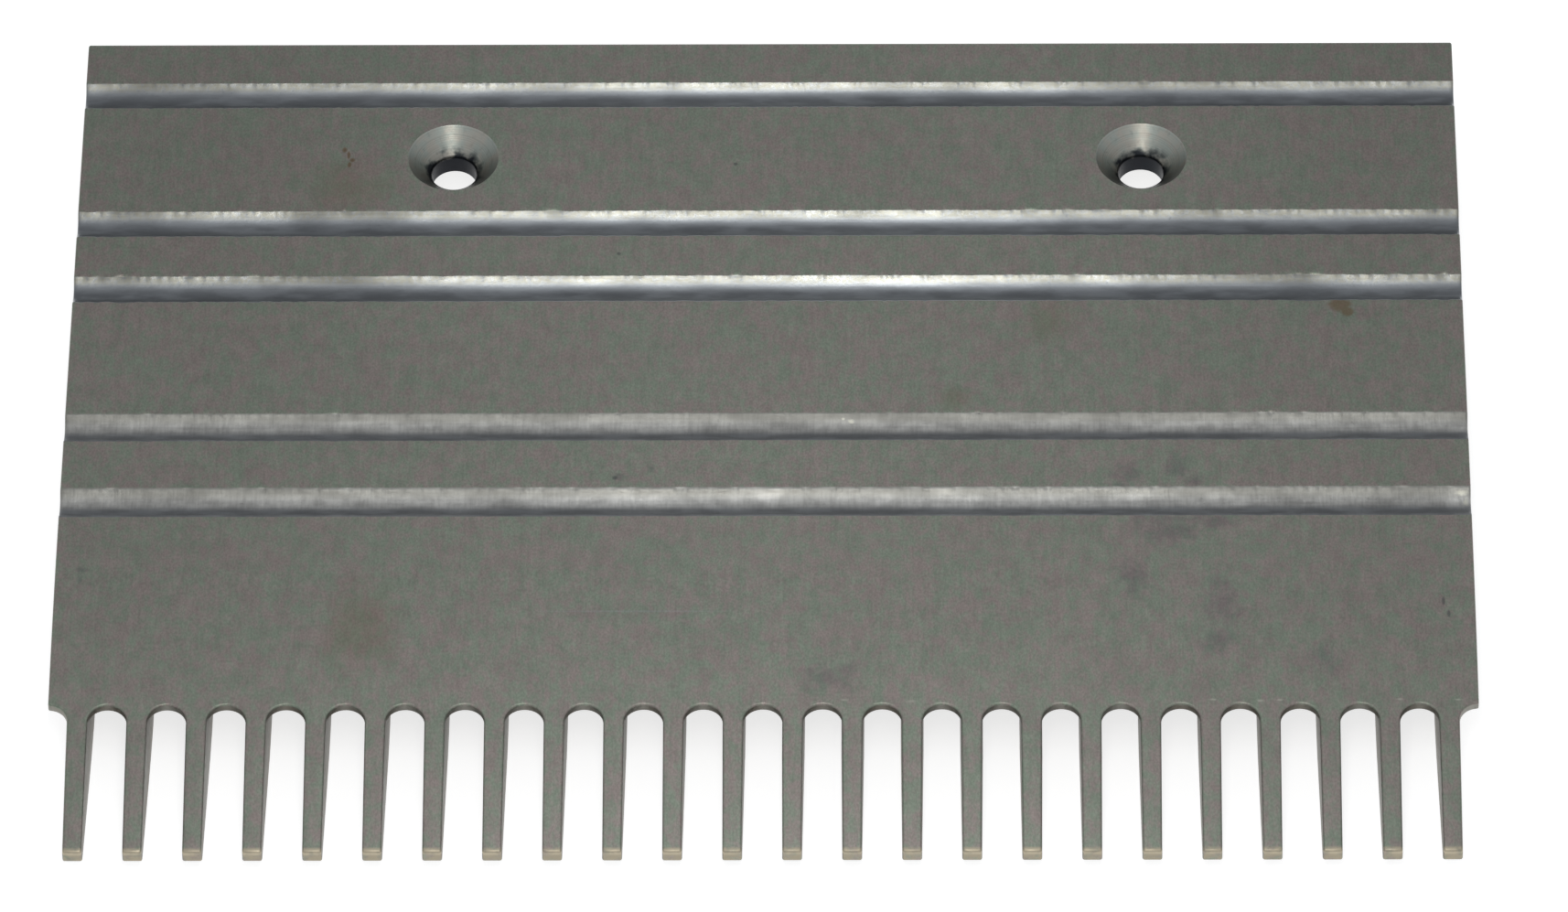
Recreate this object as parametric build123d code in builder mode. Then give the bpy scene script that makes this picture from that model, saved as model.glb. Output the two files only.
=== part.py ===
from build123d import *
from math import asin, degrees, sqrt
import os

# Escalator comb plate: one aluminium casting, all sizes in millimetres.
# Origin: on the seat plane, midway between the two fixing holes.
# +X runs along the row of teeth, +Y points to the floor side, +Z is up.
# The teeth point to -Y, towards the steps.

# Row of teeth
tooth_count = 24
tooth_pitch = 25.4 / 3
root_gap = 5.65
tip_gap = 6.05
wall_draft = 1.0

# Fixing holes, placed by whole and half tooth pitches
pitches_left_of_holes = 6.5
pitches_between_holes = 12
screw_bore = 6.6
countersink_bore = 13.4
countersink_angle = 90

# Side profile, measured from the hole line and from the seat plane
plate_thickness = 6.35
far_edge = 23.8
bend_start = 72.0
tooth_root = 105.0
tooth_tip = 128.6
front_radius = 230.0
tip_thickness = 2.1
fin_drop = 6.0
fin_heel = 36.0
belly_end = 101.0
root_web = 1.2

# Grip grooves across the plate, as distances in front of the hole line
groove_lines = [-12.8, 13.4, 26.5, 53.9, 68.5]
groove_width = 5.0
groove_depth = 1.1

# Edge breaks
far_edge_round = 0.9
tip_edge_round = 0.5
heel_fillet = 1.5
heel_round = 1.0
belly_blend = 20.0
side_edge_break = 0.3
running_past = 2.0

plate_width = tooth_count * tooth_pitch
hole_spacing = pitches_between_holes * tooth_pitch
plate_left = -hole_spacing / 2 - pitches_left_of_holes * tooth_pitch
plate_middle = plate_left + plate_width / 2
cut_depth = plate_thickness + fin_drop + running_past


def arc_drop(radius, run):
    """How far an arc that starts level has fallen after a level run."""
    return radius - sqrt(radius**2 - run**2)


top_at_tip = plate_thickness - arc_drop(front_radius, tooth_tip - bend_start)
top_at_root = plate_thickness - arc_drop(front_radius, tooth_root - bend_start)
roof_at_root = top_at_root - root_web
seat_front = fin_heel - heel_fillet
roof_run = tooth_root - seat_front
roof_radius = (roof_run**2 + roof_at_root**2) / (2 * roof_at_root)
front_turn = degrees(asin((tooth_tip - bend_start) / front_radius))
roof_turn = degrees(asin(roof_run / roof_radius))
groove_radius = (groove_depth**2 + (groove_width / 2) ** 2) / (2 * groove_depth)

# One gap between two teeth, as the solid that is cut away.
# It is open from the top in front of the tooth roots, and runs on
# under the plate as a channel between the fins, below a curved roof.
root_centre = -(tooth_root + root_gap / 2)
open_end = -(tooth_tip + tip_gap / 2 + running_past)
channel_end = running_past - fin_heel + root_gap / 2

with BuildPart() as gap_cutter:
    with BuildSketch(Plane.XY.offset(plate_thickness)):
        with Locations((0, root_centre), (0, channel_end)):
            Circle(root_gap / 2)
        make_hull()
    extrude(amount=-cut_depth, taper=wall_draft)
    with BuildSketch(Plane.YZ.offset(-tooth_pitch / 2)):
        with BuildLine():
            rear = Line((channel_end + root_gap, -cut_depth), (channel_end + root_gap, 0))
            seat = Line(rear @ 1, (-seat_front, 0))
            roof = JernArc(seat @ 1, (-1, 0), roof_radius, -roof_turn)
            lip = Line(roof @ 1, (root_centre - root_gap, (roof @ 1).Y))
            front = Line(lip @ 1, (root_centre - root_gap, -cut_depth))
            Line(front @ 1, rear @ 0)
        make_face()
    extrude(amount=tooth_pitch, mode=Mode.INTERSECT)
    with BuildSketch(Plane.XY.offset(plate_thickness)):
        with Locations((0, root_centre)):
            Circle(root_gap / 2)
        with Locations((0, open_end)):
            Circle(tip_gap / 2)
        make_hull()
    extrude(amount=-cut_depth, taper=wall_draft)

with BuildPart() as comb_plate:
    # Side profile, drawn from the far edge round to the seat
    with BuildSketch(Plane.YZ.offset(plate_left)) as side_profile:
        with BuildLine():
            rear = Line((far_edge, 0), (far_edge, plate_thickness))
            top = Line(rear @ 1, (-bend_start, plate_thickness))
            front = JernArc(top @ 1, (-1, 0), front_radius, front_turn)
            tip = Line(front @ 1, (-tooth_tip, top_at_tip - tip_thickness))
            belly = Line(tip @ 1, (-belly_end, -fin_drop))
            keel = Line(belly @ 1, (-fin_heel, -fin_drop))
            heel = Line(keel @ 1, (-fin_heel, 0))
            Line(heel @ 1, rear @ 0)
        make_face()
        for corner, radius in (
            (rear @ 1, far_edge_round),
            (front @ 1, tip_edge_round),
            (tip @ 1, tip_edge_round),
            (belly @ 1, belly_blend),
            (keel @ 1, heel_round),
            (heel @ 1, heel_fillet),
        ):
            fillet(side_profile.vertices().sort_by_distance(corner)[0], radius=radius)
    extrude(amount=plate_width)
    chamfer(comb_plate.faces().filter_by(Axis.X).edges(), length=side_edge_break)

    # Grip grooves, shallow arcs that run out at both sides
    groove_axis = plate_thickness - groove_depth + groove_radius
    with BuildSketch(Plane.YZ.offset(plate_left)):
        with Locations(*[(-line, groove_axis) for line in groove_lines]):
            Circle(groove_radius)
    extrude(amount=plate_width, mode=Mode.SUBTRACT)

    # Gaps between the teeth, with half a gap at each side of the plate
    with Locations((plate_middle, 0)):
        with GridLocations(tooth_pitch, tooth_pitch, tooth_count + 1, 1):
            add(gap_cutter.part, mode=Mode.SUBTRACT)

    # Fixing holes for two countersunk screws
    with Locations((0, 0, plate_thickness)):
        with GridLocations(hole_spacing, hole_spacing, 2, 1):
            CounterSinkHole(screw_bore / 2, countersink_bore / 2, counter_sink_angle=countersink_angle)

comb_plate.part.label = "comb_plate"
os.makedirs("parts", exist_ok=True)
export_step(comb_plate.part, "parts/comb_plate.step")
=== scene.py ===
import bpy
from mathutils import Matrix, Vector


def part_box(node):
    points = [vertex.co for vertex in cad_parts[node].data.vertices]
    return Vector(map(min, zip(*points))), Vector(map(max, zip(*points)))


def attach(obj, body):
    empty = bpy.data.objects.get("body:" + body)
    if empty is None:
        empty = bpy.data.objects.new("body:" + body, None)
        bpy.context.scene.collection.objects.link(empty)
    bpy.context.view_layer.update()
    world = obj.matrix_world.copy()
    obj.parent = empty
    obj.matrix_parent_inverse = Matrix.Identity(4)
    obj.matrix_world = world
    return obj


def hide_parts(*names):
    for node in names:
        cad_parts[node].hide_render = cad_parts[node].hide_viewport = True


bl_info = {
    "name": "Escalator Comb Plate",
    "version": (1, 0, 0),
    "blender": (4, 5, 0),
    "location": "View3D > Sidebar > Comb Plate",
    "description": "Makes a worn aluminium comb plate and the stage that it is shown on",
    "category": "Add Mesh",
}

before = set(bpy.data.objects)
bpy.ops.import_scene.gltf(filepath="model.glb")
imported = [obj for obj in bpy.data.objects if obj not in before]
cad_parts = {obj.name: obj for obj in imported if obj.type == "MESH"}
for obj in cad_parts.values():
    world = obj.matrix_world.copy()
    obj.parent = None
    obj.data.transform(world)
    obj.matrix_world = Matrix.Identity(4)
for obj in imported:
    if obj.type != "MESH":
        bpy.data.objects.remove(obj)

from math import asin, cos, hypot, pi, radians, sin, sqrt, tan

import bmesh
import bpy
from bpy.props import FloatProperty, FloatVectorProperty, IntProperty, PointerProperty
from mathutils import Matrix, Vector, noise

# The casting's own corners, in metres: X along the teeth, Y to the floor side, Z up
LOW_CORNER, HIGH_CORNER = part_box("comb_plate")
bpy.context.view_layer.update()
MM = 0.001

# Order of the material slots on the plate
GROUND, GROOVE, GAP_WALL, SINK, UNDERSIDE = range(5)


def length(name, description, millimetres):
    """A size in metres that is written here in millimetres."""
    return FloatProperty(
        name=name, description=description, default=millimetres * MM, precision=5, unit="LENGTH"
    )


def tone(name, description, *colour):
    """A colour that a user may change."""
    return FloatVectorProperty(
        name=name, description=description, default=colour, subtype="COLOR", size=3, min=0.0, max=1.0
    )


def tilt(name, description, degrees):
    """An angle that is written here in degrees."""
    return FloatProperty(name=name, description=description, default=radians(degrees), subtype="ANGLE")


def share(name, description, part):
    """A number from 0 to 1."""
    return FloatProperty(name=name, description=description, default=part, min=0.0, max=1.0)


class PlateSizes(bpy.types.PropertyGroup):
    """Sizes of the casting that its packed box doesn't give."""

    tooth_count: IntProperty(
        name="Teeth", description="Number of teeth along the plate", default=24, min=2
    )
    thickness: length("Thickness", "Thickness of the plate over its seat", 6.35)
    bend_start: length("Bend start", "From the hole line to where the top begins to fall", 72.0)
    front_radius: length("Front radius", "Radius of the falling top", 230.0)
    tooth_root: length("Tooth root", "From the hole line to the round ends of the gaps", 105.0)
    root_gap: length("Gap at root", "Width of a gap at its round end", 5.65)
    tip_gap: length("Gap at tip", "Width of a gap past the tips", 6.05)
    wall_draft: tilt("Wall draft", "Slope of the gap walls from upright", 1.0)
    tip_height: length("Tip height", "Height of a tooth's end face", 2.1)
    fin_heel: length("Fin heel", "From the hole line to the rear end of the fins", 36.0)
    belly_end: length("Belly end", "From the hole line to where the fins rise to the tips", 101.0)
    root_web: length("Root web", "Metal left above the channel at the round ends", 1.2)
    groove_width: length("Groove width", "Width of a grip groove", 5.0)
    groove_depth: length("Groove depth", "Depth of a grip groove", 1.1)
    hole_spacing: length("Hole spacing", "Distance between the two holes", 101.6)
    screw_bore: length("Screw bore", "Diameter of the screw holes", 6.6)
    sink_bore: length("Countersink", "Diameter of the countersinks at the top", 13.4)
    edge_break: length("Edge break", "Rounding of the edges of the teeth", 0.3)
    side_break: length("Side break", "Rounding of the plate's side edges", 0.3)


class PlateFinish(bpy.types.PropertyGroup):
    """Colours and gloss of the worn aluminium."""

    ground: tone("Ground top", "Dull ground aluminium of the top", 0.25, 0.247, 0.215)
    groove: tone("Grooves", "Bright milled aluminium in the grooves", 0.365, 0.385, 0.40)
    lip: tone("Groove lips", "Pale chewed metal below the far lips", 0.43, 0.425, 0.365)
    # Painted shade on the near side of each groove, whose wall faces away from the light
    groove_near_shade: tone("Groove dirt", "Grey dirt along the near side", 0.186, 0.198, 0.210)
    sink: tone("Countersinks", "Turned aluminium in the countersinks", 0.36, 0.365, 0.34)
    # Painted shade down the bores and at the foot of the countersinks
    bore_shade: tone("Bore dirt", "Dark dirt at the foot of the countersinks", 0.014, 0.016, 0.022)
    wall: tone("Gap walls", "Dirty cast walls between the teeth", 0.30, 0.295, 0.265)
    underside: tone("Underside", "Cast skin below the plate", 0.24, 0.24, 0.225)
    grime: tone("Grime", "Dark rub marks", 0.10, 0.10, 0.115)
    rust: tone("Brown stain", "Brown spots left by drops", 0.16, 0.105, 0.055)
    tip: tone("Tip faces", "Bright worn ends of the teeth", 0.35, 0.31, 0.23)
    ground_roughness: share("Top roughness", "Roughness of the ground top", 0.42)
    groove_roughness: share("Groove roughness", "Roughness in the grooves", 0.33)


class StageSettings(bpy.types.PropertyGroup):
    """Camera, lamps and floor."""

    camera_height: tilt("Camera height", "Angle of the camera above the floor", 47.759)
    camera_turn: tilt("Camera turn", "Angle of the camera's line of sight from the teeth's line", -1.036)
    camera_roll: tilt("Camera roll", "Tilt of the camera about its line of sight", -0.867)
    camera_distance: length("Camera distance", "From the camera to the plate", 1718.2)
    lens: FloatProperty(
        name="Lens", description="Focal length on a 36 mm sensor", default=273.23, unit="CAMERA"
    )
    aim_x: length("Aim across", "Where the camera aims, along the row of teeth", -1.53)
    aim_y: length("Aim in depth", "Where the camera aims, from the hole line", -59.68)
    floor_size: length("Floor size", "Side of the square floor", 12000.0)
    floor_tone: share("Floor tone", "How pale the floor is", 0.62)


def in_millimetres(sizes):
    """The plate's sizes in millimetres, with those that follow from them and from the casting."""
    mm = {name: getattr(sizes, name) / MM for name in PlateSizes.__annotations__}
    mm.update(
        tooth_count=sizes.tooth_count,
        wall_draft=sizes.wall_draft,
        left=LOW_CORNER.x / MM,
        right=HIGH_CORNER.x / MM,
        far_edge=HIGH_CORNER.y / MM,
        tooth_tip=-LOW_CORNER.y / MM,
        fin_drop=-LOW_CORNER.z / MM,
    )
    return Plate(mm)


class Plate:
    """Every size that the mesh of the plate needs, in millimetres."""

    # Grip grooves, as distances in front of the hole line
    groove_lines = (-12.8, 13.4, 26.5, 53.9, 68.5)
    far_edge_round = 0.9
    tip_edge_round = 0.5
    heel_fillet = 1.5
    heel_round = 1.0
    belly_blend = 20.0
    rear_foot_round = 0.3
    # How far the lips of each groove are worn round
    lip_rounds = (0.14, 0.14, 0.18, 0.5, 0.8)
    # Rows beside a groove's lip that take its dents
    lip_rows = (0.4, 0.8)
    # How far a cutter runs past the metal
    past = 2.0

    def __init__(self, sizes):
        self.__dict__.update(sizes)
        self.pitch = (self.right - self.left) / self.tooth_count
        self.top_at_tip = self.top(-self.tooth_tip)
        self.seat_front = self.fin_heel - self.heel_fillet
        self.roof_at_root = self.top(-self.tooth_root) - self.root_web
        roof_run = self.tooth_root - self.seat_front
        self.roof_radius = (roof_run**2 + self.roof_at_root**2) / (2 * self.roof_at_root)
        half = self.groove_width / 2
        self.groove_radius = (self.groove_depth**2 + half**2) / (2 * self.groove_depth)
        self.root_centre = -(self.tooth_root + self.root_gap / 2)
        self.open_end = -(self.tooth_tip + self.tip_gap / 2 + self.past)
        self.floor_of_cut = -(self.fin_drop + self.past)
        # A height just below the bottoms of the grooves
        self.below_grooves = self.thickness - self.groove_depth - 0.1
        self.hole_middles = (-self.hole_spacing / 2, self.hole_spacing / 2)

    def top(self, y):
        """Height of the ungrooved top at a place along the teeth."""
        run = max(0.0, -y - self.bend_start)
        return self.thickness - (self.front_radius - sqrt(self.front_radius**2 - run**2))

    def roof(self, y):
        """Height of the channel roof between the fins."""
        run = min(max(0.0, -y - self.seat_front), self.tooth_root - self.seat_front)
        return self.roof_radius - sqrt(self.roof_radius**2 - run**2)

    def drafted(self, half_width, z):
        """Half width of a gap at a height, narrower further down."""
        return half_width + (z - self.thickness) * tan(self.wall_draft)


def round_corners(corners):
    """Replaces each corner that has a radius by an arc. A corner is (y, z, radius, steps, kind)."""
    outline = []
    count = len(corners)
    for index, (y, z, radius, steps, kind) in enumerate(corners):
        if not radius:
            outline.append((y, z, kind))
            continue
        corner = Vector((y, z))
        back = (Vector(corners[index - 1][:2]) - corner).normalized()
        ahead = (Vector(corners[(index + 1) % count][:2]) - corner).normalized()
        turn = pi - back.angle(ahead)
        reach = radius * tan(turn / 2)
        centre = corner + (back + ahead).normalized() * hypot(radius, reach)
        start = corner + back * reach - centre
        sweep = -turn if back.cross(ahead) > 0 else turn
        for step in range(steps + 1):
            spoke = Matrix.Rotation(sweep * step / steps, 2) @ start
            outline.append((centre.x + spoke.x, centre.y + spoke.y, kind))
    return outline


def groove_corners(plate, line, lip_round):
    """One groove from its far lip to its near lip, with the rows beside it that take dents."""
    half = plate.groove_width / 2
    centre_z = plate.thickness - plate.groove_depth + plate.groove_radius
    reach = asin(half / plate.groove_radius)
    steps = 10
    corners = []
    for row in reversed(plate.lip_rows):
        corners.append((-line + half + row, plate.thickness, 0, 0, "band"))
    for step in range(steps + 1):
        angle = reach * (1 - 2 * step / steps)
        y = -line + plate.groove_radius * sin(angle)
        z = centre_z - plate.groove_radius * cos(angle)
        lip = lip_round if step in (0, steps) else 0
        corners.append((y, z, lip, 3, "groove"))
    for row in plate.lip_rows:
        corners.append((-line - half - row, plate.thickness, 0, 0, "band"))
    return corners


def side_outline(plate):
    """The plate's side view as a closed line, from its rear foot over the top to the seat."""
    far, thick = plate.far_edge, plate.thickness
    corners = [
        (far, 0, plate.rear_foot_round, 3, "plain"),
        (far, thick, plate.far_edge_round, 6, "plain"),
    ]
    for line, lip_round in zip(plate.groove_lines, plate.lip_rounds):
        corners += groove_corners(plate, line, lip_round)
    # The falling top, with no line close to the round ends of the gaps
    clear = plate.tooth_root - 0.8
    for start, end, steps in ((plate.bend_start, clear, 26), (clear, plate.tooth_tip, 20)):
        for step in range(steps):
            y = -start - (end - start) * step / steps
            corners.append((y, plate.top(y), 0, 0, "plain"))
    corners += [
        (-plate.tooth_tip, plate.top_at_tip, plate.tip_edge_round, 5, "plain"),
        (-plate.tooth_tip, plate.top_at_tip - plate.tip_height, plate.tip_edge_round, 5, "plain"),
        (-plate.belly_end, -plate.fin_drop, plate.belly_blend, 8, "under"),
        (-plate.fin_heel, -plate.fin_drop, plate.heel_round, 5, "under"),
        (-plate.fin_heel, 0, plate.heel_fillet, 6, "under"),
    ]
    return round_corners(corners)


def outline_normals(outline):
    """The way out of the metal at each point. A groove counts as level, so its lips stay apart."""
    normals = []
    count = len(outline)
    for index, (_, _, kind) in enumerate(outline):
        before, after = outline[index - 1], outline[(index + 1) % count]
        along = Vector((after[0] - before[0], after[1] - before[1])).normalized()
        level = kind in ("groove", "band")
        normals.append(Vector((0, 1)) if level else Vector((-along.y, along.x)) * -1)
    return normals


def skin(built, rings, finish, strips=None):
    """Closes a solid over rings of points. The strips along it may differ in finish."""
    rows = [[built.verts.new(point) for point in ring] for ring in rings]
    count = len(rows[0])
    strips = strips or [finish] * count
    for here, there in zip(rows, rows[1:]):
        for index in range(count):
            after = (index + 1) % count
            face = built.faces.new((here[index], here[after], there[after], there[index]))
            face.material_index = strips[index]
    for end in (reversed(rows[0]), rows[-1]):
        built.faces.new(end).material_index = finish


def plate_blank(plate):
    """The whole side outline run along the plate, with its two side edges rounded."""
    outline = side_outline(plate)
    normals = outline_normals(outline)
    steps = 4
    stations = []
    for step in range(steps + 1):
        angle = pi / 2 * step / steps
        stations.append((plate.side_break * (1 - cos(angle)), plate.side_break * (1 - sin(angle))))
    places = [(plate.left + x, inset) for x, inset in stations]
    places += [(plate.left + plate.pitch * (tooth + 0.5), 0) for tooth in range(plate.tooth_count)]
    places += [(plate.right - x, inset) for x, inset in reversed(stations)]
    rings = [
        [(x, y - normal.x * inset, z - normal.y * inset) for (y, z, _), normal in zip(outline, normals)]
        for x, inset in places
    ]
    strips = []
    for here, after in zip(outline, outline[1:] + outline[:1]):
        kinds = {here[2], after[2]}
        if kinds == {"groove"}:
            strips.append(GROOVE)
        else:
            strips.append(UNDERSIDE if "under" in kinds else GROUND)
    blank = bmesh.new()
    skin(blank, rings, GROUND, strips)
    return blank


def open_slot(cutter, plate, middle):
    """The part of a gap that is open from above: a round end, straight drafted walls."""
    rings = []
    steps = 24
    for z in (plate.floor_of_cut, plate.thickness + plate.past):
        root = plate.drafted(plate.root_gap / 2, z)
        tip = plate.drafted(plate.tip_gap / 2, z)
        ring = [(middle - tip, plate.open_end, z), (middle + tip, plate.open_end, z)]
        for step in range(steps + 1):
            angle = pi * step / steps
            ring.append((middle + root * cos(angle), plate.root_centre + root * sin(angle), z))
        rings.append(ring)
    skin(cutter, rings, GAP_WALL)


def channel(cutter, plate, middle):
    """The part of a gap below the plate, between two fins and under the curved roof."""
    slack = 0.01
    rear = -plate.seat_front + 4 * slack
    front = plate.root_centre
    steps = 36
    rings = []
    for step in range(steps + 1):
        y = rear + (front - rear) * step / steps
        roof = plate.roof(y) + slack / 2
        low = plate.drafted(plate.root_gap / 2, plate.floor_of_cut) - slack
        high = plate.drafted(plate.root_gap / 2, roof) - slack
        rings.append([
            (middle - low, y, plate.floor_of_cut),
            (middle + low, y, plate.floor_of_cut),
            (middle + high, y, roof),
            (middle - high, y, roof),
        ])
    skin(cutter, rings, GAP_WALL)


# Wear of a countersink's rim: how far it is out of round, in mm, and its waves
RIM_WEAR = 0.06
RIM_WAVES = 3


def countersunk_hole(cutter, plate, middle):
    """A screw hole and its countersink, whose rim is worn a little out of round."""
    bore = plate.screw_bore / 2
    rim = plate.sink_bore / 2
    top = plate.thickness
    rim_round = 0.1
    foot_round = 0.25
    foot = top - (rim - bore)
    profile = [
        (bore, -plate.past),
        (bore, foot - foot_round * 1.4),
        (bore + foot_round * 0.3, foot - foot_round * 0.4),
        (bore + foot_round, foot + foot_round),
        (rim - rim_round * 2, top - rim_round * 2),
        (rim - rim_round, top - rim_round * 0.8),
        (rim, top),
        (rim, top + plate.past),
    ]
    steps = 96
    rings = []
    for radius, z in profile:
        worn = RIM_WEAR if radius > rim - 1 else 0.0
        ring = []
        for step in range(steps):
            turn = 2 * pi * step / steps
            chip = noise.noise(Vector((cos(turn) * RIM_WAVES, sin(turn) * RIM_WAVES, middle)))
            reach = radius + worn * chip
            ring.append((middle + reach * cos(turn), reach * sin(turn), z))
        rings.append(ring)
    skin(cutter, rings, SINK)


def as_object(name, built, materials):
    """Turns a finished bmesh into an object at the origin."""
    mesh = bpy.data.meshes.new(name)
    for material in materials:
        mesh.materials.append(material)
    bmesh.ops.recalc_face_normals(built, faces=built.faces)
    built.to_mesh(mesh)
    built.free()
    piece = bpy.data.objects.new(name, mesh)
    bpy.context.scene.collection.objects.link(piece)
    return piece


def cut_away(piece, cutter):
    """Subtracts the cutter from the piece for good, and deletes the cutter."""
    modifier = piece.modifiers.new("cut", "BOOLEAN")
    modifier.operation = "DIFFERENCE"
    modifier.solver = "EXACT"
    modifier.object = cutter
    graph = bpy.context.evaluated_depsgraph_get()
    result = bpy.data.meshes.new_from_object(piece.evaluated_get(graph))
    piece.modifiers.remove(modifier)
    old = piece.data
    name = old.name
    piece.data = result
    bpy.data.meshes.remove(old)
    result.name = name
    bpy.data.meshes.remove(cutter.data)


# An edge beside a gap that turns by more than this is rounded
ROUNDED_ANGLE = radians(40)
# Shading stays sharp where the surface turns by more than this
SHARP_ANGLE = radians(32)
# What lies less than this below the top counts as its edge, in mm
TOP_LAYER = 0.6
# Points closer than this become one, in mm
WELD = 0.001


def bevel_teeth(built, plate):
    """Rounds the long edges of teeth and fins and the mouths of the gaps."""
    sharp = []
    for edge in built.edges:
        if len(edge.link_faces) != 2:
            continue
        finishes = {face.material_index for face in edge.link_faces}
        if GAP_WALL not in finishes or len(finishes) < 2:
            continue
        if not edge.is_convex or edge.calc_face_angle() < ROUNDED_ANGLE:
            continue
        ends = [vert.co for vert in edge.verts]
        rear = max(end.y for end in ends)
        on_top = min(end.z - plate.top(end.y) for end in ends) > -TOP_LAYER
        in_front = rear < -plate.fin_heel + 0.01
        low = max(end.z for end in ends) < -plate.heel_fillet
        if on_top or (in_front and (low or rear < -plate.tooth_root)):
            sharp.append(edge)
    rounded = bmesh.ops.bevel(
        built, geom=sharp, offset=plate.edge_break, offset_type="OFFSET", segments=3, profile=0.5,
        affect="EDGES", clamp_overlap=False, material=-1,
    )
    # The worn edges on top shine like the top
    for face in rounded["faces"]:
        middle = face.calc_center_median()
        if middle.z > plate.top(middle.y) - TOP_LAYER:
            face.material_index = GROUND


# Dents in the far lips of the grooves: groove, place along the plate, length and depth in mm
LIP_DENTS = (
    (0, -96.3, 1.2, 0.22),
    (0, 51.6, 0.9, 0.16),
    (0, 46.6, 0.7, 0.12),
    (1, -62.0, 6.0, 0.08),
    (1, -69.0, 5.0, 0.06),
    (1, 61.8, 0.8, 0.20),
    (1, -29.5, 1.0, 0.12),
    (1, -21.1, 0.8, 0.14),
    (2, 75.1, 6.5, 0.24),
    (2, -66.0, 9.0, 0.06),
    (3, 8.1, 0.9, 0.12),
    (3, -66.5, 6.0, 0.10),
    (3, 68.0, 7.0, 0.12),
    (4, -80.0, 4.0, 0.06),
    (4, -16.9, 0.8, 0.15),
)
# Nicks along the lips, fine and coarse: waves to the mm and depth in mm
FINE_WAVES, FINE_DEPTH = 1.3, 0.21
COARSE_WAVES, COARSE_DEPTH = 0.4, 0.15
DENT_WAVES = 3
# Keeps the nicks of one groove apart from those of the next
GROOVE_SHIFT = 7.3
# The near lips are worn less than the far ones, and nicks are a little wider than deep
NEAR_LIP_WEAR = 0.5
NICK_WIDTH = 1.1
# Length of the pieces that a lip is divided into, in mm
LIP_PIECE = 0.42
# A face with more corners than this is the flat round a countersink, which stays whole
MANY_CORNERS = 20


def divide_lips(built, plate):
    """Divides the bands beside the groove lips into short pieces that can take nicks."""
    wide = plate.groove_width / 2 + plate.lip_rows[-1] + 0.01
    bands = {}
    for edge in built.edges:
        first, second = edge.verts
        run = abs(first.co.x - second.co.x)
        if run < 1 or min(first.co.z, second.co.z) < plate.below_grooves:
            continue
        if any(len(face.verts) > MANY_CORNERS for face in edge.link_faces):
            continue
        for line in plate.groove_lines:
            if max(abs(first.co.y + line), abs(second.co.y + line)) < wide:
                bands.setdefault(int(run / LIP_PIECE), []).append(edge)
    for cuts, edges in bands.items():
        bmesh.ops.subdivide_edges(built, edges=edges, cuts=cuts, use_grid_fill=True)


def lip_wear(groove, x):
    """How deep the lip of a groove is worn at a place along the plate, in millimetres."""
    fine = noise.noise(Vector((x * FINE_WAVES, groove * GROOVE_SHIFT, 0.0)))
    coarse = noise.noise(Vector((x * COARSE_WAVES, groove * GROOVE_SHIFT, 5.0)))
    drop = FINE_DEPTH * fine + COARSE_DEPTH * max(0.0, coarse)
    for dented, place, reach, depth in LIP_DENTS:
        if dented == groove:
            near = max(0.0, 1 - abs(x - place) / (reach / 2))
            uneven = 0.6 + 0.8 * abs(noise.noise(Vector((x * DENT_WAVES, place, 1.0))))
            drop += depth * sqrt(near) * uneven
    return drop


def chew_lips(built, plate):
    """Wears the lips of the grooves with small nicks and dents."""
    half = plate.groove_width / 2
    reach = plate.lip_rows[0] + 0.05
    for vert in built.verts:
        x, y, z = vert.co
        if z < plate.below_grooves or not plate.left + 1 < x < plate.right - 1:
            continue
        for groove, line in enumerate(plate.groove_lines):
            away = abs(abs(y + line) - half)
            if away > reach:
                continue
            far_side = y + line > 0
            strength = 1.0 if far_side else NEAR_LIP_WEAR
            drop = lip_wear(groove, x)
            fade = 1 - away / reach
            vert.co.z = min(plate.thickness, z - strength * max(0.0, drop) * fade)
            vert.co.y += strength * NICK_WIDTH * drop * fade * (1 if far_side else -1)


def comb_plate_mesh(plate, materials):
    """The finished casting as one object, in metres."""
    piece = as_object("comb_plate_casting", plate_blank(plate), materials)
    gaps = [plate.left + plate.pitch * number for number in range(plate.tooth_count + 1)]
    for cut, middles in ((open_slot, gaps), (channel, gaps), (countersunk_hole, plate.hole_middles)):
        cutter = bmesh.new()
        for middle in middles:
            cut(cutter, plate, middle)
        cut_away(piece, as_object("cutter", cutter, materials))

    built = bmesh.new()
    built.from_mesh(piece.data)
    bmesh.ops.remove_doubles(built, verts=built.verts, dist=WELD)
    bevel_teeth(built, plate)
    divide_lips(built, plate)
    chew_lips(built, plate)
    bmesh.ops.recalc_face_normals(built, faces=built.faces)
    bmesh.ops.scale(built, vec=(MM, MM, MM), verts=built.verts)
    built.to_mesh(piece.data)
    built.free()
    piece.data.shade_smooth()
    piece.data.set_sharp_from_angle(angle=SHARP_ANGLE)
    weighted = piece.modifiers.new("even_normals", "WEIGHTED_NORMAL")
    weighted.keep_sharp = True
    weighted.weight = 60
    return piece


# Painted light midway along the plate, in mm from its middle: full up to the first, none past the second
LIT_MIDDLE_FROM, LIT_MIDDLE_TO = 18.0, 98.0


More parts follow.
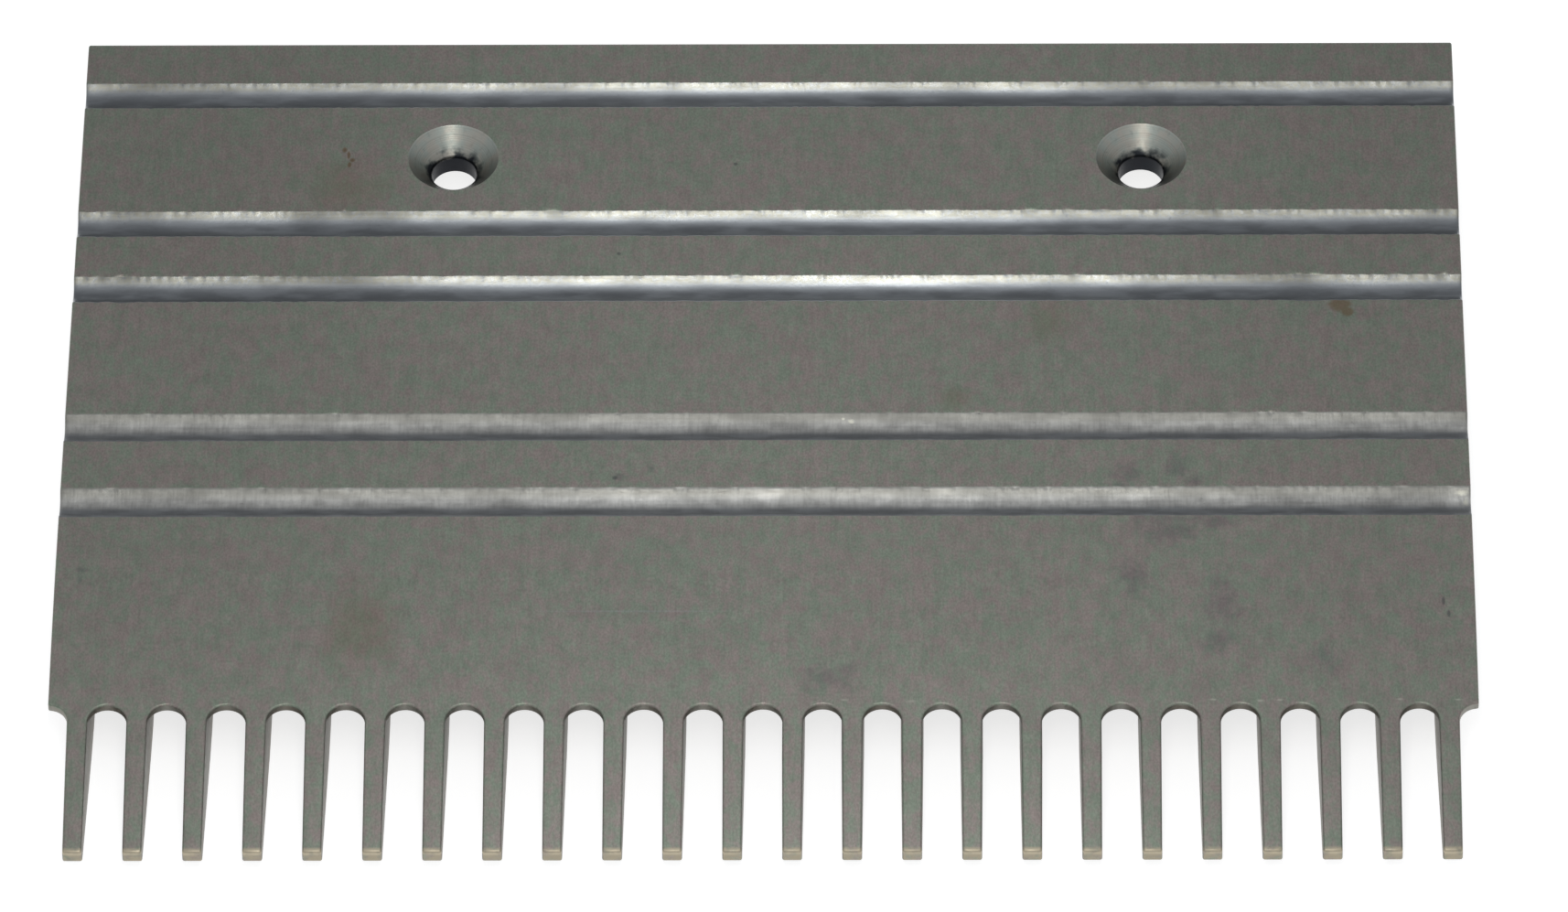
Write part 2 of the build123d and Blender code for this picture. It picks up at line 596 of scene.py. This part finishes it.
class Finish:
    """A material's node tree, with short calls for the nodes that the finishes use."""

    def __init__(self, name):
        self.material = bpy.data.materials.new(name)
        self.material.use_nodes = True
        self.tree = self.material.node_tree
        self.shader = self.tree.nodes["Principled BSDF"]
        self.place = self.tree.nodes.new("ShaderNodeTexCoord").outputs["Object"]

    def node(self, kind, inputs, **settings):
        """A new node. Its inputs are given by name or number, as values or as other nodes' outputs."""
        made = self.tree.nodes.new(kind)
        for name, value in settings.items():
            setattr(made, name, value)
        for key, value in inputs.items():
            self.join(value, made.inputs[key])
        return made

    def join(self, value, socket):
        """Sets an input to a value, or feeds it from another node's output."""
        if isinstance(value, bpy.types.NodeSocket):
            self.tree.links.new(value, socket)
        else:
            socket.default_value = value

    def math(self, operation, first, second=0.0, third=0.0):
        """One step of arithmetic."""
        made = self.node("ShaderNodeMath", {0: first, 1: second, 2: third}, operation=operation)
        return made.outputs[0]

    def product(self, first, *others):
        """Values and masks multiplied with each other."""
        for other in others:
            first = self.math("MULTIPLY", first, other)
        return first

    def raised(self, value, mask, amount):
        """A value that is an amount higher inside a mask."""
        return self.math("ADD", value, self.product(mask, amount))

    def most(self, masks):
        """The strongest of several masks."""
        strongest = masks[0]
        for mask in masks[1:]:
            strongest = self.math("MAXIMUM", strongest, mask)
        return strongest

    def along(self, axis):
        """The place along one axis, in metres."""
        return self.node("ShaderNodeSeparateXYZ", {0: self.place}).outputs[axis]

    def shifted(self, offset, scale):
        """The place on the plate, moved and then scaled along each axis."""
        moved = self.node("ShaderNodeVectorMath", {0: self.place, 1: offset}, operation="SUBTRACT")
        scaled = self.node("ShaderNodeVectorMath", {0: moved.outputs[0], 1: scale}, operation="MULTIPLY")
        return scaled.outputs[0]

    def reach(self, vector):
        """How long a vector is."""
        return self.node("ShaderNodeVectorMath", {0: vector}, operation="LENGTH").outputs["Value"]

    def noise(self, scale, detail, offset=(0.0, 0.0, 0.0), roughness=0.5):
        """Noise from 0 to 1. The scale is in waves to the metre along each axis."""
        made = self.node(
            "ShaderNodeTexNoise",
            {"Vector": self.shifted(offset, scale), "Scale": 1.0, "Detail": detail, "Roughness": roughness},
            noise_dimensions="3D",
        )
        return made.outputs["Fac"]

    def between(self, value, low, high, to_low=0.0, to_high=1.0):
        """A value eased from one range to another."""
        made = self.node(
            "ShaderNodeMapRange",
            {"Value": value, "From Min": low, "From Max": high, "To Min": to_low, "To Max": to_high},
            interpolation_type="SMOOTHSTEP",
        )
        return made.outputs[0]

    def band(self, value, edge, distances):
        """A mask that rises, stays at 1 and falls, at four distances from an edge in millimetres."""
        rise_from, rise_to, fall_from, fall_to = ((edge + distance) * MM for distance in distances)
        rising = self.between(value, rise_from, rise_to)
        return self.product(rising, self.between(value, fall_to, fall_from))

    def lit_middle_gain(self, middle_gain, side_gain):
        """Painted light: a gain that is highest midway along the plate and falls towards both sides."""
        away = self.math("ABSOLUTE", self.along("X"))
        return self.between(away, LIT_MIDDLE_FROM * MM, LIT_MIDDLE_TO * MM, middle_gain, side_gain)

    def blot(self, x, y, across, deep, soft=0.5, ragged=0.35, grain=420):
        """A mask that is 1 inside an oval mark, with a ragged edge. Sizes in millimetres."""
        inside = self.shifted((x * MM, y * MM, 0.0), (2 / (across * MM), 2 / (deep * MM), 0.0))
        torn = self.math("MULTIPLY_ADD", self.noise((grain, grain, grain), 3), ragged * 2, -ragged)
        edge = self.math("ADD", self.reach(inside), torn)
        return self.between(edge, 1.0, 1.0 - soft, 0.0, 1.0)

    def marks(self, places, **edge):
        """One mask for all the marks of a table."""
        return self.most([self.blot(*place, **edge) for place in places])

    def mix(self, factor, first, second, blend="MIX"):
        """A colour between two others, or one blended with the other."""
        made = self.node("ShaderNodeMix", {}, data_type="RGBA", blend_type=blend)
        self.join(factor, made.inputs["Factor"])
        colours = [socket for socket in made.inputs if socket.type == "RGBA"]
        self.join(first, colours[0])
        self.join(second, colours[1])
        return [socket for socket in made.outputs if socket.type == "RGBA"][0]

    def mix_value(self, factor, first, second):
        """A value between two others."""
        made = self.node("ShaderNodeMix", {}, data_type="FLOAT")
        sockets = [socket for socket in made.inputs if socket.type == "VALUE"]
        for value, socket in zip((factor, first, second), sockets):
            self.join(value, socket)
        return made.outputs[0]

    def painted(self, colour, paint, *masks):
        """A colour that is covered with paint as far as all the masks let it."""
        return self.mix(self.product(*masks), colour, paint)

    def tinted(self, colour, tint):
        """A colour multiplied by another."""
        return self.mix(1.0, colour, tint, "MULTIPLY")

    def shaded(self, colour, shade):
        """A colour made lighter or darker by a gain."""
        grey = self.node("ShaderNodeCombineColor", {0: shade, 1: shade, 2: shade}).outputs[0]
        return self.tinted(colour, grey)

    def bump(self, height, depth, strength, under=None):
        """Relief from a height of 0 to 1, with its depth in millimetres."""
        inputs = {"Height": height, "Distance": depth * MM, "Strength": strength}
        if under is not None:
            inputs["Normal"] = under
        return self.node("ShaderNodeBump", inputs).outputs["Normal"]

    def done(self, colour, roughness, normal, metallic=1.0):
        """Feeds the shader and gives the finished material."""
        inputs = {"Base Color": colour, "Roughness": roughness, "Normal": normal, "Metallic": metallic}
        for name, value in inputs.items():
            self.join(value, self.shader.inputs[name])
        return self.material


def rgba(colour, gain=1.0):
    """A colour with its alpha, made lighter or darker by a gain."""
    return (colour[0] * gain, colour[1] * gain, colour[2] * gain, 1.0)


def tinge(colour, red, green, blue):
    """A colour with its alpha, and a gain of its own for each channel."""
    return (colour[0] * red, colour[1] * green, colour[2] * blue, 1.0)


# Marks on the ground top: place, then width and depth, in millimetres from the hole line's middle
DARK_RUBS = (
    (48.2, -63.4, 6.4, 8.0),
    (46.9, -66.0, 6.4, 4.2),
    (55.2, -62.2, 6.4, 6.6),
    (57.8, -64.6, 4.6, 3.8),
    (55.0, -71.9, 24.0, 3.2),
    (60.5, -72.3, 11.0, 4.0),
    (53.5, -74.6, 13.0, 7.0),
    (48.8, -82.8, 7.4, 9.4),
    (61.2, -87.6, 7.4, 14.0),
    (60.2, -94.0, 8.0, 7.0),
    (75.9, -97.8, 8.6, 7.0),
    (4.6, -100.6, 10.0, 7.6),
    (7.4, -99.2, 6.0, 4.0),
    (-25.2, -63.5, 3.4, 1.9),
    (-20.6, -62.2, 1.4, 2.4),
    (-101.9, -81.2, 2.4, 1.3),
    (-102.3, -83.2, 1.2, 2.8),
)
BROWN_SPOTS = (
    (79.5, -29.9, 4.3, 4.0),
    (80.4, -31.3, 2.4, 2.6),
    (-66.9, 1.6, 0.9, 1.3),
    (-66.3, 0.5, 0.7, 2.0),
    (-65.7, -0.5, 1.1, 1.2),
    (-66.1, -1.4, 0.7, 1.5),
)
WARM_TINTS = (
    (-66.0, -5.5, 22.0, 15.0),
    (37.2, -33.0, 12.0, 13.0),
    (23.1, -48.4, 8.0, 7.0),
    (-62.0, -92.0, 16.0, 26.0),
)
DARK_SPECKS = (
    (-26.0, -19.5, 0.8, 0.8),
    (-9.1, -1.4, 0.8, 0.8),
    (-25.9, -63.9, 1.0, 0.9),
    (92.8, -87.4, 0.7, 2.2),
    (93.5, -89.6, 0.7, 1.8),
    (-66.9, 1.6, 0.5, 0.8),
    (-66.3, 0.5, 0.4, 1.4),
    (-65.7, -0.5, 0.6, 0.7),
    (-66.1, -1.4, 0.4, 1.0),
)
LIGHT_SCRATCHES = (
    (-23.0, -89.0, 36.0, 0.5),
    (95.0, -43.8, 0.35, 2.0),
)
# Painted highlights: glints on the rounded rims of the gap mouths
MOUTH_GLINTS = (
    (17.0, -104.6, 1.8, 0.6),
    (7.4, -104.4, 1.4, 0.5),
    (59.8, -104.4, 1.8, 0.5),
    (66.4, -104.6, 1.6, 0.6),
    (69.1, -104.5, 1.8, 0.5),
    (86.1, -104.4, 1.6, 0.6),
    (94.5, -104.5, 1.5, 0.5),
)
# Edges and strength of the light chips in the grooves and of the painted glints on the gap mouths
CHIP_AND_GLINT_EDGE = {"soft": 0.8, "ragged": 0.6, "grain": 1300}
CHIP_AND_GLINT_STRENGTH = 0.7


def ground_aluminium(look, plate):
    """The dull top: short grinding lines along the teeth, mottled tints, rub marks and drops, with painted
    light and painted highlights.
    """
    finish = Finish("ground_aluminium")
    lines = finish.noise((2300, 240, 240), 3)
    fine = finish.noise((3900, 2400, 2400), 2, (0.3, 0.1, 0.0))
    mottle = finish.noise((420, 330, 330), 4)
    tint = finish.noise((1150, 820, 820), 2, (1.7, 0.0, 0.0))
    blush = finish.noise((300, 210, 210), 3, (0.9, 0.4, 0.0))
    cloud = finish.noise((22, 16, 20), 2, (0.0, 2.1, 0.0))
    depth = finish.along("Y")

    hue = finish.math("MULTIPLY_ADD", tint, 0.5, finish.product(blush, 0.5))
    greenish = tinge(look.ground, 0.89, 1.05, 0.96)
    reddish = tinge(look.ground, 1.10, 0.96, 1.02)
    colour = finish.mix(finish.between(hue, 0.36, 0.64), greenish, reddish)
    shade = finish.product(
        finish.between(lines, 0.25, 0.75, 0.955, 1.045),
        finish.between(fine, 0.22, 0.78, 0.86, 1.12),
        finish.between(mottle, 0.25, 0.75, 0.94, 1.06),
        finish.between(cloud, 0.3, 0.7, 0.98, 1.02),
        # Painted light: the top is lighter towards the front and midway along the plate
        finish.between(depth, 25.0 * MM, -90.0 * MM, 0.97, 1.13),
        finish.lit_middle_gain(1.02, 0.865),
    )
    colour = finish.shaded(colour, shade)

    rubs = finish.marks(DARK_RUBS, soft=1.0, ragged=0.8, grain=520)
    specks = finish.marks(DARK_SPECKS, soft=0.6, ragged=0.2)
    spots = finish.marks(BROWN_SPOTS, grain=900)
    warmth = finish.marks(WARM_TINTS, soft=1.0, ragged=0.5, grain=160)
    scratches = finish.marks(LIGHT_SCRATCHES, soft=0.7, ragged=0.3)
    # Painted glints on the rims of the gap mouths, in the pale lip tone
    chips_and_glints = finish.marks(MOUTH_GLINTS, **CHIP_AND_GLINT_EDGE)
    for mask, strength, paint in (
        (warmth, 0.26, rgba(look.rust)),
        (rubs, 0.31, rgba(look.grime)),
        (specks, 0.55, rgba(look.grime, 0.6)),
        (spots, 0.66, rgba(look.rust)),
        (scratches, 0.22, rgba(look.groove)),
        (chips_and_glints, CHIP_AND_GLINT_STRENGTH, rgba(look.lip)),
    ):
        colour = finish.painted(colour, paint, mask, strength)

    # The worn ends of the teeth, with a painted highlight along their top edge
    front, top_edge = LOW_CORNER.y, plate.top_at_tip * MM
    tip = finish.between(depth, front + 0.9 * MM, front + 0.2 * MM)
    edge = finish.between(finish.along("Z"), top_edge - 0.9 * MM, top_edge - 0.2 * MM)
    patchy = finish.between(finish.noise((700, 900, 900), 3), 0.3, 0.62, 0.25, 1.0)
    colour = finish.painted(colour, rgba(look.tip), tip, patchy)
    # A lighter copy of the tip tone: the painted highlight on the top edge
    colour = finish.painted(colour, rgba(look.tip, 1.35), tip, edge, patchy)

    rough = finish.between(mottle, 0.2, 0.8, look.ground_roughness - 0.05, look.ground_roughness + 0.06)
    rough = finish.raised(rough, rubs, 0.10)
    normal = finish.bump(lines, 0.02, 0.5)
    normal = finish.bump(fine, 0.01, 0.4, normal)
    return finish.done(colour, rough, normal, metallic=0.85)


# Stretches of the grooves that differ: groove, from and to in mm, gain in tone, added roughness
GROOVE_PATCHES = (
    (0, -108, -78, 0.68, 0.08),
    (0, -88, -48, 0.84, 0.02),
    (0, -58, -14, 0.82, 0.0),
    (0, 2, 38, 0.76, 0.0),
    (0, 28, 80, 0.66, 0.04),
    (0, 68, 112, 0.90, 0.0),
    (1, -104, -91, 0.70, 0.08),
    (1, -92, -72, 1.16, -0.03),
    (1, -78, -53, 0.68, 0.10),
    (1, -28, -6, 0.88, 0.0),
    (1, 30, 80, 0.74, 0.03),
    (1, 54, 64, 0.84, 0.04),
    (1, 72, 112, 0.86, 0.0),
    (2, -112, -74, 0.84, 0.0),
    (2, -82, -53, 0.66, 0.10),
    (2, -20, 40, 1.04, -0.02),
    (2, 44, 86, 0.72, 0.05),
    (3, -32, -12, 1.16, -0.03),
    (3, 62, 96, 1.12, -0.03),
    (4, -74, -40, 1.16, -0.03),
    (4, -42, 4, 1.27, -0.10),
    (4, -14, 34, 1.18, -0.08),
    (4, 10, 74, 1.18, -0.06),
    (4, -112, -76, 0.90, 0.0),
    (4, 93, 99, 1.25, -0.05),
)
# Light chips in the grooves
GROOVE_CHIPS = (
    (8.2, -52.3, 1.4, 0.8),
    (7.0, -52.0, 0.7, 0.5),
    (95.9, -66.6, 2.2, 0.9),
    (96.6, -68.0, 1.2, 1.6),
)
# Grooves whose frosted far side is duller and wider than in the others
FROSTED_GROOVES = (3, 4)
FROST_TINT = (1.05, 0.99, 0.91, 1.0)
# Bands across a groove, in mm behind its far lip or its near lip
LIP_BAND = (-1.4, -0.5, 0.5, 1.4)
DULL_LIP_BAND = (-1.6, -0.4, 0.5, 1.7)
# The near-side bands are painted shade
NEAR_SHADE_BAND = (-1.5, 1.9, 2.2, 4.7)
FROSTED_NEAR_SHADE_BAND = (-2.0, 0.0, 1.5, 3.0)
FROST_SOFT = 1.0
# Depth in mm of a patch that covers a groove from lip to lip
PATCH_DEPTH = 14.0


def groove_aluminium(look, plate):
    """The milled grooves: pale chewed lips, dull and polished stretches, painted shade on the near side."""
    finish = Finish("groove_aluminium")
    lines = finish.noise((60, 2400, 2400), 3)
    waves = finish.noise((95, 330, 330), 4, (0.4, 0.0, 0.0))
    chew = finish.noise((1500, 1700, 1700), 4, (0.0, 0.7, 0.0), 0.65)
    chatter = finish.noise((2600, 420, 420), 3, (0.2, 0.2, 0.0))
    blotches = finish.noise((420, 520, 520), 3, (0.6, 0.0, 0.0))
    shade_mottle = finish.noise((170, 520, 520), 4, (1.1, 0.3, 0.0))
    depth = finish.along("Y")

    wide = plate.groove_width
    lips, dull_lips, near_sides, frosted = [], [], [], []
    for number, line in enumerate(plate.groove_lines):
        far, near = wide / 2 - line, -wide / 2 - line
        if number in FROSTED_GROOVES:
            dull_lips.append(finish.band(depth, far, DULL_LIP_BAND))
            near_sides.append(finish.product(finish.band(depth, near, FROSTED_NEAR_SHADE_BAND), 0.88))
            frosted.append(finish.band(depth, near, (-FROST_SOFT, 0.0, wide, wide + FROST_SOFT)))
        else:
            lips.append(finish.band(depth, far, LIP_BAND))
            near_sides.append(finish.band(depth, near, NEAR_SHADE_BAND))
    frost = finish.most(frosted)
    lip = finish.product(finish.most(lips), finish.between(chew, 0.35, 0.6, 0.35, 1.0))
    near_shade = finish.product(finish.most(near_sides), finish.between(waves, 0.25, 0.75, 1.0, 0.92))
    chips_and_glints = finish.marks(GROOVE_CHIPS, **CHIP_AND_GLINT_EDGE)

    frost_tone = finish.product(
        finish.between(blotches, 0.3, 0.7, 0.86, 1.12),
        finish.between(chatter, 0.3, 0.7, 0.88, 1.04),
    )
    shade = finish.product(
        finish.between(lines, 0.25, 0.75, 0.94, 1.06),
        finish.between(waves, 0.28, 0.72, 0.84, 1.12),
        finish.between(chew, 0.2, 0.42, 0.72, 1.0),
        # Painted light: the frosted grooves are lighter midway along the plate
        finish.mix_value(frost, finish.lit_middle_gain(1.44, 0.90), frost_tone),
    )
    rough = finish.between(waves, 0.25, 0.75, look.groove_roughness + 0.05, look.groove_roughness - 0.04)
    rough = finish.raised(rough, frost, 0.18)
    for number, start, end, gain, duller in GROOVE_PATCHES:
        middle = ((start + end) / 2, -plate.groove_lines[number])
        patch = finish.blot(*middle, end - start, PATCH_DEPTH, soft=0.6, ragged=0.25, grain=260)
        shade = finish.product(shade, finish.between(patch, 0.0, 1.0, 1.0, gain))
        rough = finish.raised(rough, patch, duller)

    colour = finish.mix(lip, rgba(look.groove), rgba(look.lip))
    colour = finish.shaded(colour, shade)
    colour = finish.mix(frost, colour, finish.tinted(colour, FROST_TINT))
    colour = finish.painted(colour, rgba(look.ground, 1.1), finish.most(dull_lips), 0.55)
    colour = finish.painted(colour, rgba(look.lip, 1.5), chips_and_glints, CHIP_AND_GLINT_STRENGTH)
    # Painted shade on the near side of the grooves, in a mottled tone
    mottled_shade = finish.between(shade_mottle, 0.34, 0.62)
    near_shade_tone = finish.mix(mottled_shade, rgba(look.groove_near_shade, 1.12), rgba(look.groove_near_shade, 0.76))
    colour = finish.mix(near_shade, colour, near_shade_tone)
    rough = finish.raised(finish.raised(rough, lip, 0.10), near_shade, 0.08)
    normal = finish.bump(lines, 0.03, 0.4)
    normal = finish.bump(chew, 0.06, 0.4, normal)
    normal = finish.bump(finish.product(chatter, frost), 0.08, 0.4, normal)
    return finish.done(colour, rough, normal)


def turned_aluminium(look, plate):
    """The countersinks: fine turned rings and a little grit, with painted light on the far side of the cone
    and painted shade down the bore.
    """
    finish = Finish("turned_aluminium")
    rings = []
    for middle in plate.hole_middles:
        rings.append(finish.reach(finish.shifted((middle * MM, 0.0, 0.0), (1.0, 1.0, 0.0))))
    radius = finish.math("MINIMUM", *rings)
    combined = finish.node("ShaderNodeCombineXYZ", {0: radius}).outputs[0]
    turned = finish.node(
        "ShaderNodeTexNoise", {"Vector": combined, "Scale": 5200.0, "Detail": 3.0}, noise_dimensions="3D"
    ).outputs["Fac"]
    grit = finish.noise((1300, 1300, 700), 3)
    blush = finish.noise((520, 520, 520), 3, (0.0, 0.8, 0.0))
    shade = finish.product(
        finish.between(turned, 0.3, 0.7, 0.88, 1.08),
        finish.between(grit, 0.2, 0.45, 0.8, 1.0),
        # Painted light: the far side of the cone is lighter, the near side darker
        finish.between(finish.along("Y"), -3.5 * MM, 5.5 * MM, 0.50, 1.18),
    )
    colour = finish.shaded(rgba(look.sink), shade)
    tint = finish.mix(finish.between(blush, 0.35, 0.65), (0.93, 1.0, 0.98, 1.0), (1.05, 1.0, 0.95, 1.0))
    colour = finish.tinted(colour, tint)
    # Painted shade down the bore, from just above the foot of the cone, with a ragged top
    cone_foot = (plate.thickness - (plate.sink_bore - plate.screw_bore) / 2) * MM
    level = finish.math("ADD", finish.along("Z"), finish.between(blush, 0.3, 0.7, -0.5 * MM, 0.5 * MM))
    deep = finish.between(level, cone_foot + 1.1 * MM, cone_foot - 0.1 * MM)
    colour = finish.painted(colour, rgba(look.bore_shade), deep, 0.97)
    rough = finish.between(grit, 0.2, 0.8, 0.34, 0.44)
    return finish.done(colour, rough, finish.bump(turned, 0.04, 0.5))


def cast_aluminium(name, colour, look, dirty):
    """Cast skin: small pits and a cloudy tone, with brown dirt where it is dirty."""
    finish = Finish(name)
    grain = finish.noise((1500, 1500, 1500), 4)
    cloud = finish.noise((140, 90, 200), 3)
    pits = finish.between(finish.noise((700, 700, 700), 2, (0.2, 0.0, 0.0)), 0.28, 0.40)
    shade = finish.product(
        finish.between(grain, 0.25, 0.75, 0.88, 1.10),
        finish.between(pits, 0.0, 1.0, 0.8, 1.0),
    )
    metal = finish.shaded(rgba(colour), shade)
    metal = finish.painted(metal, rgba(look.rust, 0.8), finish.between(cloud, 0.35, 0.65), dirty)
    rough = finish.between(grain, 0.2, 0.8, 0.44, 0.60)
    normal = finish.bump(grain, 0.06, 0.5)
    normal = finish.bump(pits, 0.05, 0.4, normal)
    return finish.done(metal, rough, normal, metallic=0.8)


class COMBPLATE_OT_cast_plate(bpy.types.Operator):
    """Makes the comb plate, with its grooves, holes, teeth and fins, in worn aluminium"""

    bl_idname = "combplate.cast_plate"
    bl_label = "Cast Plate"
    bl_options = {"REGISTER", "UNDO"}

    def execute(self, context):
        plate = in_millimetres(context.scene.comb_plate_sizes)
        look = context.scene.comb_plate_finish
        materials = [
            ground_aluminium(look, plate),
            groove_aluminium(look, plate),
            cast_aluminium("gap_wall_aluminium", look.wall, look, 0.35),
            turned_aluminium(look, plate),
            cast_aluminium("underside_aluminium", look.underside, look, 0.15),
        ]
        piece = comb_plate_mesh(plate, materials)
        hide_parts("comb_plate")
        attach(piece, "root")
        return {"FINISHED"}


# Soft lamps: name, place, width and depth in metres, power in watts, colour
LAMPS = (
    ("near_lamp", (0.0, -0.30, 0.72), 0.12, 0.50, 0.68, (0.98, 0.99, 1.0)),
    ("front_lamp", (0.0, -0.52, 0.60), 0.12, 0.34, 0.44, (1.0, 0.95, 0.88)),
    ("top_lamp", (0.0, 0.02, 0.78), 0.20, 0.40, 0.10, (0.98, 0.99, 1.0)),
)
LAMP_TARGET = (0.0, -0.05, 0.0)
# Light that the floor gives off to the camera and to what the metal mirrors
FLOOR_GLOW = 0.74
FLOOR_ROUGHNESS = 0.9
# The room above the horizon, and the height at which it reaches its own colour
HORIZON = (1.0, 1.0, 1.0, 1.0)
ROOM = (0.54, 0.55, 0.57, 1.0)
ROOM_FROM = 0.08
SENSOR_WIDTH = 36.0
FARTHEST_SEEN = 50.0


def aimed_lamp(name, place, width, depth, power, colour):
    """A soft rectangular lamp that points at the middle of the plate."""
    lamp = bpy.data.lights.new(name, "AREA")
    lamp.shape = "RECTANGLE"
    lamp.size = width
    lamp.size_y = depth
    lamp.energy = power
    lamp.color = colour
    held = bpy.data.objects.new(name, lamp)
    way = Vector(LAMP_TARGET) - Vector(place)
    held.matrix_world = Matrix.Translation(place) @ way.to_track_quat("-Z", "Y").to_matrix().to_4x4()
    bpy.context.scene.collection.objects.link(held)


def studio_floor(settings):
    """A pale floor under the fins. It looks white and keeps the plate's shadow."""
    half = settings.floor_size / 2
    level = LOW_CORNER.z
    mesh = bpy.data.meshes.new("studio_floor")
    corners = [(-half, -half, level), (half, -half, level), (half, half, level), (-half, half, level)]
    mesh.from_pydata(corners, [], [(0, 1, 2, 3)])
    floor = bpy.data.objects.new("studio_floor", mesh)
    bpy.context.scene.collection.objects.link(floor)

    material = bpy.data.materials.new("pale_floor")
    material.use_nodes = True
    nodes, links = material.node_tree.nodes, material.node_tree.links
    paint = nodes["Principled BSDF"]
    paint.inputs["Base Color"].default_value = (settings.floor_tone,) * 3 + (1.0,)
    paint.inputs["Roughness"].default_value = FLOOR_ROUGHNESS
    paint.inputs["Specular IOR Level"].default_value = 0.0
    light_path = nodes.new("ShaderNodeLightPath")
    seen = light_path.outputs["Is Camera Ray"]
    for ray in ("Is Glossy Ray", "Is Transmission Ray"):
        either = nodes.new("ShaderNodeMath")
        either.operation = "MAXIMUM"
        links.new(seen, either.inputs[0])
        links.new(light_path.outputs[ray], either.inputs[1])
        seen = either.outputs[0]
    glow = nodes.new("ShaderNodeMath")
    glow.operation = "MULTIPLY"
    glow.inputs[1].default_value = FLOOR_GLOW
    links.new(seen, glow.inputs[0])
    paint.inputs["Emission Color"].default_value = (1.0, 1.0, 1.0, 1.0)
    links.new(glow.outputs[0], paint.inputs["Emission Strength"])
    mesh.materials.append(material)


def studio_sky():
    """A dim room above a white horizon."""
    world = bpy.data.worlds.new("studio_room")
    bpy.context.scene.world = world
    world.use_nodes = True
    nodes, links = world.node_tree.nodes, world.node_tree.links
    place = nodes.new("ShaderNodeTexCoord")
    parts = nodes.new("ShaderNodeSeparateXYZ")
    links.new(place.outputs["Generated"], parts.inputs[0])
    fade = nodes.new("ShaderNodeValToRGB")
    links.new(parts.outputs["Z"], fade.inputs["Fac"])
    near, far = fade.color_ramp.elements
    near.position, near.color = 0.0, HORIZON
    far.position, far.color = ROOM_FROM, ROOM
    links.new(fade.outputs["Color"], nodes["Background"].inputs["Color"])
    nodes["Background"].inputs["Strength"].default_value = 1.0


def studio_camera(settings):
    """The camera in front of the teeth, looking down on the plate."""
    lens = bpy.data.cameras.new("camera")
    lens.lens = settings.lens
    lens.sensor_width = SENSOR_WIDTH
    lens.sensor_fit = "HORIZONTAL"
    lens.clip_end = FARTHEST_SEEN
    camera = bpy.data.objects.new("camera", lens)
    height, turn = settings.camera_height, settings.camera_turn
    ahead = Vector((sin(turn) * cos(height), cos(turn) * cos(height), -sin(height)))
    across = Vector((cos(turn), -sin(turn), 0.0))
    upward = across.cross(ahead)
    roll = settings.camera_roll
    right = across * cos(roll) + upward * sin(roll)
    above = upward * cos(roll) - across * sin(roll)
    target = Vector((settings.aim_x, settings.aim_y, HIGH_CORNER.z))
    turned = Matrix((right, above, -ahead)).transposed().to_4x4()
    camera.matrix_world = Matrix.Translation(target - ahead * settings.camera_distance) @ turned
    bpy.context.scene.collection.objects.link(camera)
    bpy.context.scene.camera = camera


class COMBPLATE_OT_lay_stage(bpy.types.Operator):
    """Lays the pale floor and sets up the soft lamps and the camera"""

    bl_idname = "combplate.lay_stage"
    bl_label = "Lay Stage"
    bl_options = {"REGISTER", "UNDO"}

    def execute(self, context):
        settings = context.scene.comb_plate_stage
        context.scene.view_settings.view_transform = "Standard"
        studio_floor(settings)
        studio_sky()
        for lamp in LAMPS:
            aimed_lamp(*lamp)
        studio_camera(settings)
        return {"FINISHED"}


class COMBPLATE_PT_sidebar(bpy.types.Panel):
    """Lists the comb plate's makers and their settings"""

    bl_label = "Comb Plate"
    bl_idname = "COMBPLATE_PT_sidebar"
    bl_space_type = "VIEW_3D"
    bl_region_type = "UI"
    bl_category = "Comb Plate"

    def draw(self, context):
        scene = context.scene
        for operator, group in (
            (COMBPLATE_OT_cast_plate, scene.comb_plate_sizes),
            (None, scene.comb_plate_finish),
            (COMBPLATE_OT_lay_stage, scene.comb_plate_stage),
        ):
            box = self.layout.box()
            for name in type(group).__annotations__:
                box.prop(group, name)
            if operator:
                box.operator(operator.bl_idname)


CLASSES = (
    PlateSizes,
    PlateFinish,
    StageSettings,
    COMBPLATE_OT_cast_plate,
    COMBPLATE_OT_lay_stage,
    COMBPLATE_PT_sidebar,
)
# The settings that every scene keeps
GROUPS = {
    "comb_plate_sizes": PlateSizes,
    "comb_plate_finish": PlateFinish,
    "comb_plate_stage": StageSettings,
}


def register():
    """Makes the operators, the sidebar and the settings known."""
    for entry in CLASSES:
        bpy.utils.register_class(entry)
    for name, group in GROUPS.items():
        setattr(bpy.types.Scene, name, PointerProperty(type=group))


def unregister():
    """Takes away all that register made known."""
    for name in GROUPS:
        delattr(bpy.types.Scene, name)
    for entry in reversed(CLASSES):
        bpy.utils.unregister_class(entry)


def main():
    """Makes the plate and its stage."""
    register()
    bpy.ops.combplate.cast_plate()
    bpy.ops.combplate.lay_stage()


if __name__ == "__main__":
    main()
